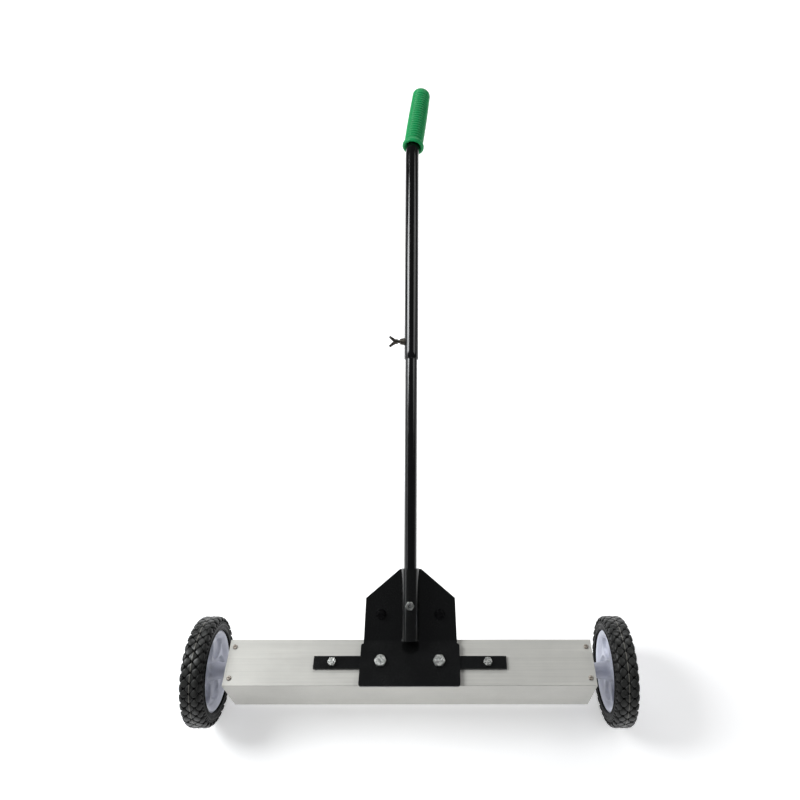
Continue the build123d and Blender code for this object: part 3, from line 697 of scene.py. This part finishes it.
def softened(name, width):
    """A CAD node's own shape with its sharp edges rounded over and its curved faces smooth."""
    work = bmesh.new()
    work.from_mesh(frame["nodes"][name].data)
    bmesh.ops.remove_doubles(work, verts=work.verts, dist=2e-6)
    bmesh.ops.dissolve_limit(work, angle_limit=radians(0.6), verts=work.verts, edges=work.edges)
    sharp = [edge for edge in work.edges
             if len(edge.link_faces) == 2 and edge.calc_face_angle(0) > radians(27)]
    bmesh.ops.bevel(work, geom=sharp, offset=width * MM, offset_type="OFFSET", segments=3, profile=0.5,
                    affect="EDGES", clamp_overlap=True)
    mesh = bpy.data.meshes.new(name + "_finished")
    work.to_mesh(mesh)
    work.free()
    mesh.shade_smooth()
    return mesh


# --- Weld beads along both sides of the socket, laid on the folded-up plate ---
SOCKET_R, WELD_R, WELD_PITCH, WELD_TAPER = 14.5, 3.1, 3.1, 3.0
WELD_START_S, WELD_LENGTH = 9.0, 96.0
WELD_STEPS, AROUND_WELD = 192, 16


def weld_mesh(side):
    """One rippled bead, wandering a little, with both ends rounded off."""
    rows = []
    for step in range(WELD_STEPS + 1):
        reach = WELD_LENGTH * step / WELD_STEPS
        start = sqrt(max(0.0, 1 - (max(0.0, WELD_TAPER - reach) / WELD_TAPER) ** 2))
        end = sqrt(max(0.0, 1 - (max(0.0, reach - WELD_LENGTH + WELD_TAPER) / WELD_TAPER) ** 2))
        ripple = abs((reach / WELD_PITCH) % 1.0 - 0.5) * 2
        wander = 0.35 * sin(reach * 0.47 + side) + 0.2 * sin(reach * 1.31)
        radius = max(0.05, (WELD_R + wander + 0.55 * (1 - ripple ** 2)) * (start * end))
        centre = (lower_start + ALONG * (WELD_START_S + reach - LOWER_BOTTOM_S) * MM
                  - OUTWARD * (SOCKET_R - 1.6) * MM
                  + Vector((side * (SOCKET_R * 0.72 + 0.2 * wander) * MM, 0, 0)))
        rows.append([tuple(centre + (Vector((side * cos(turn), 0, 0)) + OUTWARD * sin(turn)) * radius * MM)
                     for turn in turns(AROUND_WELD)])
    return grid_mesh("socket_weld", rows, close_ends=True)


for label, side in (("left", -1), ("right", 1)):
    piece("socket_weld_" + label, weld_mesh(side), [], "chassis", "black_enamel")

# --- Every other piece: its CAD shape with softened edges --------------------
drawn = {node for thing in bpy.data.objects for node in thing.get("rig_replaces", [])}
for entry in frame["record"]["subparts"]:
    name = entry["node"]
    if name in drawn:
        continue
    finished = piece(name + "_finished", softened(name, EDGE_ROUND.get(name, SMALL_PIECE_ROUND)), [name],
                     frame["nodes"][name]["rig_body"], entry["material_slot"])
    weighted = finished.modifiers.new("even_shading", "WEIGHTED_NORMAL")
    weighted.mode = "FACE_AREA_WITH_ANGLE"
    weighted.weight = 60

# --- Camera, light and floor -------------------------------------------------
housing_low, housing_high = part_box("housing_shell")
roof = Vector((0, (housing_low.y + housing_high.y) / 2, housing_high.z))
CAMERA_FROM_ROOF = Vector((0.0431, -0.3955, 1.0971))
CAMERA_PITCH, CAMERA_TURN, CAMERA_ROLL = radians(-47.65), radians(0.34), radians(-0.39)
CAMERA_LENS, CAMERA_SHIFT_X, CAMERA_SHIFT_Y = 29.19, -0.0409, -0.0086
camera = bpy.data.objects.new("camera", bpy.data.cameras.new("camera"))
bpy.context.scene.collection.objects.link(camera)
camera.data.sensor_width = 36.0
camera.data.lens = CAMERA_LENS
camera.data.shift_x = CAMERA_SHIFT_X
camera.data.shift_y = CAMERA_SHIFT_Y
aimed = Matrix.Rotation(CAMERA_TURN, 4, "Z") @ Matrix.Rotation(pi / 2 + CAMERA_PITCH, 4, "X")
rolled = Matrix.Rotation(CAMERA_ROLL, 4, "Z")
camera.matrix_world = Matrix.Translation(roof + CAMERA_FROM_ROOF) @ aimed @ rolled
bpy.context.scene.camera = camera


def soft_light(name, place, aim, width, height, watts, tint=(1, 1, 1)):
    """A rectangular soft box at a place, turned towards a point."""
    data = bpy.data.lights.new(name, "AREA")
    data.shape = "RECTANGLE"
    data.size, data.size_y = width, height
    data.energy, data.color = watts, tint
    lamp = bpy.data.objects.new(name, data)
    bpy.context.scene.collection.objects.link(lamp)
    facing = (Vector(place) - Vector(aim)).to_track_quat("Z", "Y")
    lamp.matrix_world = Matrix.Translation(place) @ facing.to_matrix().to_4x4()


world = bpy.data.worlds.new("soft_room")
world.use_nodes = True
room = world.node_tree.nodes["Background"]
room.inputs["Color"].default_value = (0.93, 0.95, 1.0, 1)
room.inputs["Strength"].default_value = 0.12
bpy.context.scene.world = world
bpy.context.scene.view_settings.view_transform = "Standard"
soft_light("left_key", (-2.1, 0.05, 2.2), (0, -0.3, 0.1), 1.1, 1.3, 66, (0.97, 0.985, 1.0))
soft_light("right_key", (2.3, 0.1, 2.3), (0, -0.3, 0.1), 1.6, 1.6, 17)
soft_light("left_strip", (-2.0, -0.4, 1.0), (0, -0.2, 0.3), 1.7, 0.5, 6, (0.96, 0.98, 1.0))
soft_light("front_strip", (-0.6, -2.6, 1.1), (0, -0.4, 0.1), 3.0, 0.14, 2)
soft_light("back_wash", (0, 4.2, 3.4), (0, 3.2, 0), 6.0, 1.5, 150)

FLOOR_HALF = 30.0
floor_corners = [(-FLOOR_HALF, -FLOOR_HALF, 0), (FLOOR_HALF, -FLOOR_HALF, 0),
                 (FLOOR_HALF, FLOOR_HALF, 0), (-FLOOR_HALF, FLOOR_HALF, 0)]
floor_mesh = bpy.data.meshes.new("floor")
floor_mesh.from_pydata(floor_corners, [], [(0, 1, 2, 3)])
floor = bpy.data.objects.new("floor", floor_mesh)
bpy.context.scene.collection.objects.link(floor)
floor_look = Nodes("floor_look")
floor_look.colour(floor_look.blend(floor_look.noise(2, 2), (0.94, 0.94, 0.94), (0.96, 0.96, 0.96)))
floor_look.shader.inputs["Roughness"].default_value = 0.9
floor_look.shader.inputs["Specular IOR Level"].default_value = 0.0
floor_look.shader.inputs["Emission Color"].default_value = (1, 1, 1, 1)
floor_look.shader.inputs["Emission Strength"].default_value = 0.38
floor_mesh.materials.append(floor_look.material)
